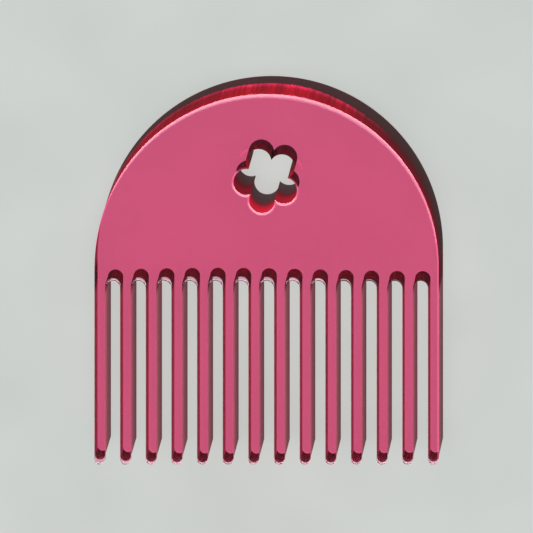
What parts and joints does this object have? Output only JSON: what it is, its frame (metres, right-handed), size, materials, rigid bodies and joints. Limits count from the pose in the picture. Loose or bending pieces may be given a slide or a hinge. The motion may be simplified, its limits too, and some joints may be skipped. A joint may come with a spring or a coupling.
{
  "type": "wide tooth comb",
  "caption": "Palm-sized wide-tooth hair comb in clear tinted acrylic sheet, with an arched back, a cut-out flower and straight round-tipped teeth.",
  "frame": {"origin": "middle of the outline's box, on the back face that the comb lies on", "axes": "+Z through the sheet from the back face to the front face, +Y from the tips of the teeth to the arched back, +X along the row of teeth"},
  "size_m": [0.1006, 0.1082, 0.005],
  "materials": {
    "tinted_acrylic": "transparent raspberry-pink cast acrylic, polished faces, laser-cut edges with fine striations"
  },
  "bodies": {
    "root": {"back": "tinted_acrylic", "tooth_01": "tinted_acrylic", "tooth_02": "tinted_acrylic", "tooth_03": "tinted_acrylic", "tooth_04": "tinted_acrylic", "tooth_05": "tinted_acrylic", "tooth_06": "tinted_acrylic", "tooth_07": "tinted_acrylic", "tooth_08": "tinted_acrylic", "tooth_09": "tinted_acrylic", "tooth_10": "tinted_acrylic", "tooth_11": "tinted_acrylic", "tooth_12": "tinted_acrylic", "tooth_13": "tinted_acrylic", "tooth_14": "tinted_acrylic"}
  },
  "joints": []
}
